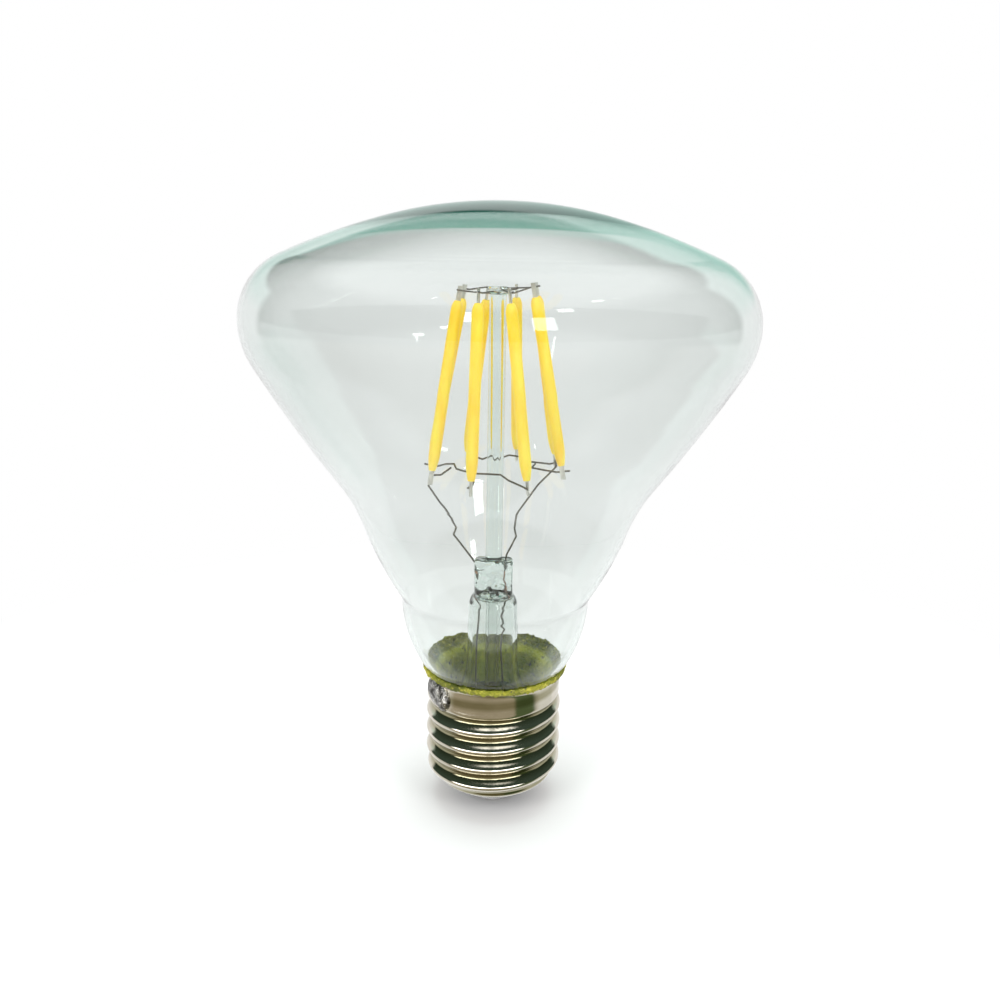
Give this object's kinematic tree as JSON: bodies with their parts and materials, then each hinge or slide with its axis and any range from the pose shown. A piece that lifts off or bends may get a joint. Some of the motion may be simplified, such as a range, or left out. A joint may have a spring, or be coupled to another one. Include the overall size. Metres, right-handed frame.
{
  "type": "led filament bulb",
  "caption": "Clear reflector-shaped filament bulb on a screw cap, with a glass stem and eight yellow filaments in a cone.",
  "frame": {"origin": "on the axis, in the plane of the centre contact's flat", "axes": "+Z along the axis towards the dome; -Y towards the viewer of the reference view, where the solder on the skirt lies to the left of the front"},
  "size_m": [0.095, 0.095, 0.1163],
  "materials": {
    "nickel_shell": "nickel plated, polished",
    "black_insulator": "black glass, glossy",
    "contact_metal": "plated brass, dull",
    "solder": "tin solder, lumpy and semi-bright",
    "clear_glass": "clear soft glass, polished",
    "cement": "yellow-green basing cement, rough",
    "lead_wire": "tinned wire",
    "board": "glass-epoxy board",
    "resistor_coat": "painted resistor",
    "capacitor_sleeve": "shrink sleeve",
    "chip_resin": "moulded resin",
    "stem_glass": "clear stem glass, fire polished",
    "support_wire": "oxidised nickel wire",
    "copper_seal": "copper-clad seal wire",
    "strip_metal": "plated strip",
    "phosphor": "yellow phosphor in silicone"
  },
  "bodies": {
    "root": {"screw_shell": "nickel_shell", "cap_insulator": "black_insulator", "centre_contact": "contact_metal", "contact_solder": "solder", "side_solder": "solder", "envelope": "clear_glass", "basing_cement": "cement", "shell_wire": "lead_wire", "live_wire": "lead_wire", "outer_lead_left": "lead_wire", "outer_lead_right": "lead_wire", "driver_board": "board", "fuse_resistor": "resistor_coat", "bulk_capacitor": "capacitor_sleeve", "bridge_rectifier": "chip_resin", "driver_chip": "chip_resin", "stem_flare": "stem_glass", "exhaust_tube": "stem_glass", "stem_rod": "stem_glass", "top_link_1": "support_wire", "top_link_2": "support_wire", "top_link_3": "support_wire", "top_link_4": "support_wire", "inner_lead_left": "support_wire", "inner_lead_right": "support_wire", "front_foot_wire": "support_wire", "front_foot_stub": "support_wire", "back_foot_wire": "support_wire", "side_foot_wire": "support_wire", "dumet_left": "copper_seal", "dumet_right": "copper_seal", "filament_strip_1": "strip_metal", "filament_coat_1": "phosphor", "filament_strip_2": "strip_metal", "filament_coat_2": "phosphor", "filament_strip_3": "strip_metal", "filament_coat_3": "phosphor", "filament_strip_4": "strip_metal", "filament_coat_4": "phosphor", "filament_strip_5": "strip_metal", "filament_coat_5": "phosphor", "filament_strip_6": "strip_metal", "filament_coat_6": "phosphor", "filament_strip_7": "strip_metal", "filament_coat_7": "phosphor", "filament_strip_8": "strip_metal", "filament_coat_8": "phosphor"}
  },
  "joints": []
}
